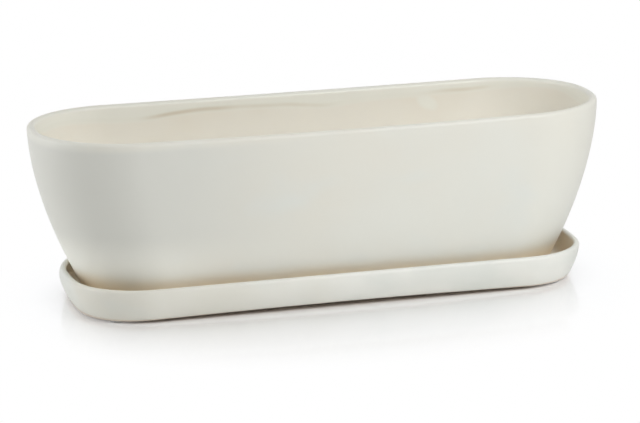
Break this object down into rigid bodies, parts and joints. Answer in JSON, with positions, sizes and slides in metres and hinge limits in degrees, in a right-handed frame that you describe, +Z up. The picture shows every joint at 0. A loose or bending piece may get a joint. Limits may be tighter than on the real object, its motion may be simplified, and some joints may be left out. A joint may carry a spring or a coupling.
{
  "type": "trough planter with saucer",
  "caption": "Oblong glazed ceramic herb trough with flared curved walls, a round lip and drain holes, standing loose in a low matching drip saucer on small clear pads.",
  "frame": {"origin": "on the table under the middle of the planter", "axes": "+X along the planter, -Y to the front, +Z up"},
  "size_m": [0.36, 0.1324, 0.1125],
  "materials": {
    "pot_glaze": "satin ivory glaze, bare clay under the foot",
    "saucer_glaze": "satin ivory glaze, bare clay under the base",
    "bumper": "clear soft silicone"
  },
  "bodies": {
    "saucer": {"saucer": "saucer_glaze", "pad_front_left": "bumper", "pad_front_right": "bumper", "pad_back_left": "bumper", "pad_back_right": "bumper"},
    "pot": {"pot": "pot_glaze"}
  },
  "joints": [
    {"name": "pot_lift", "type": "slide", "parent": "saucer", "child": "pot", "axis": [0, 0, 1], "range_m": [0, 0.06]}
  ]
}
